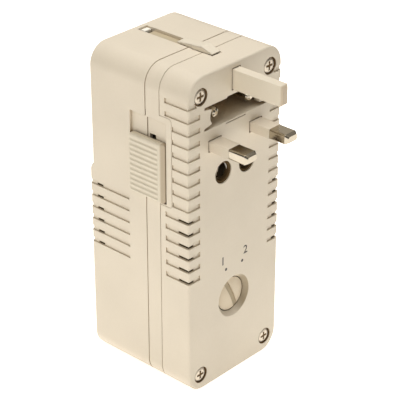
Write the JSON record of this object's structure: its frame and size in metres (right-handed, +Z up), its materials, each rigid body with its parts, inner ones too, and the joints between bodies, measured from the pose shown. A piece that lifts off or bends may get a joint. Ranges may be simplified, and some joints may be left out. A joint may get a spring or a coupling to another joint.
{
  "type": "travel voltage converter",
  "caption": "Tall plug-in travel voltage converter with retractable flat-pin, round-pin and turning-blade plug sets, a ribbed thumb slide, a slotted selector knob and a socket on the back.",
  "frame": {"origin": "middle of the flat bottom face, between the plug face and the lower back", "axes": "+Z up along the tall case, -Y out of the plug face the way the pins point, +X right as the plug face is seen"},
  "size_m": [0.0531, 0.0735, 0.1332],
  "materials": {
    "case_shell": "fine satin moulded plastic, warm beige",
    "screw_steel": "dull plated steel",
    "pin_nickel": "nickel plated, bright",
    "pin_sleeve": "satin beige plastic",
    "earth_pin": "satin beige plastic",
    "top_lever": "satin beige plastic",
    "thumb_lever": "satin beige plastic",
    "side_slide": "satin beige plastic with ribs",
    "selector_knob": "matt beige plastic",
    "carrier": "matt moulded plastic",
    "blade_holder": "matt dark plastic",
    "contact_brass": "bare brass strip",
    "switch_black": "matt black plastic",
    "core_steel": "varnished stacked sheet",
    "bobbin": "plain moulded plastic",
    "winding_copper": "enamelled copper wire",
    "winding_tape": "yellow tape",
    "fuse_sleeve": "clear grey sleeve",
    "board": "brown laminate",
    "socket_insert": "dark brown plastic"
  },
  "bodies": {
    "case": {"front_cover": "case_shell", "rear_housing": "case_shell", "middle_frame": "case_shell", "case_screws": "screw_steel", "transformer_screws": "screw_steel", "blade_collar": "blade_holder", "uk_contacts": "contact_brass", "eu_contacts": "contact_brass", "socket_contacts": "contact_brass", "switch_contacts": "contact_brass", "switch_housing": "switch_black", "transformer_core": "core_steel", "transformer_bobbin": "bobbin", "primary_winding": "winding_copper", "secondary_winding": "winding_copper", "winding_tape": "winding_tape", "thermal_fuse": "fuse_sleeve", "circuit_board": "board", "socket_insert": "socket_insert"},
    "uk_plug_set": {"uk_carriage": "carrier", "uk_live_pin": "pin_nickel", "uk_neutral_pin": "pin_nickel", "uk_pin_sleeves": "pin_sleeve", "uk_earth_pin": "earth_pin", "top_lever": "top_lever"},
    "round_pin_set": {"eu_block": "carrier", "eu_pins": "pin_nickel", "eu_pin_sleeves": "pin_sleeve", "eu_lever": "thumb_lever"},
    "blade_set": {"us_carriage": "carrier", "us_contact_plates": "contact_brass", "us_lever": "thumb_lever"},
    "left_blade_holder": {"us_left_barrel": "blade_holder", "us_left_blade": "pin_nickel"},
    "right_blade_holder": {"us_right_barrel": "blade_holder", "us_right_blade": "pin_nickel"},
    "thumb_slide": {"side_slide": "side_slide", "slide_keeper": "carrier"},
    "selector": {"selector_knob": "selector_knob", "switch_rotor": "switch_black"}
  },
  "joints": [
    {"name": "uk_set_slide", "type": "slide", "parent": "case", "child": "uk_plug_set", "axis": [0, 1, 0], "range_m": [0, 0.0227]},
    {"name": "round_pin_slide", "type": "slide", "parent": "case", "child": "round_pin_set", "axis": [0, -1, 0], "range_m": [0, 0.036]},
    {"name": "blade_set_slide", "type": "slide", "parent": "case", "child": "blade_set", "axis": [0, -1, 0], "range_m": [0, 0.0192]},
    {"name": "left_blade_turn", "type": "hinge", "parent": "blade_set", "child": "left_blade_holder", "pos_m": [-0.0065, 0, 0.0893], "axis": [0, 1, 0], "range_deg": [0, 30]},
    {"name": "right_blade_turn", "type": "hinge", "parent": "blade_set", "child": "right_blade_holder", "pos_m": [0.0065, 0, 0.0893], "axis": [0, -1, 0], "range_deg": [0, 30]},
    {"name": "thumb_slide_lift", "type": "slide", "parent": "case", "child": "thumb_slide", "axis": [0, 0, 1], "range_m": [0, 0.008]},
    {"name": "selector_turn", "type": "hinge", "parent": "case", "child": "selector", "pos_m": [0, 0, 0.034], "axis": [0, 1, 0], "range_deg": [0, 50]}
  ]
}
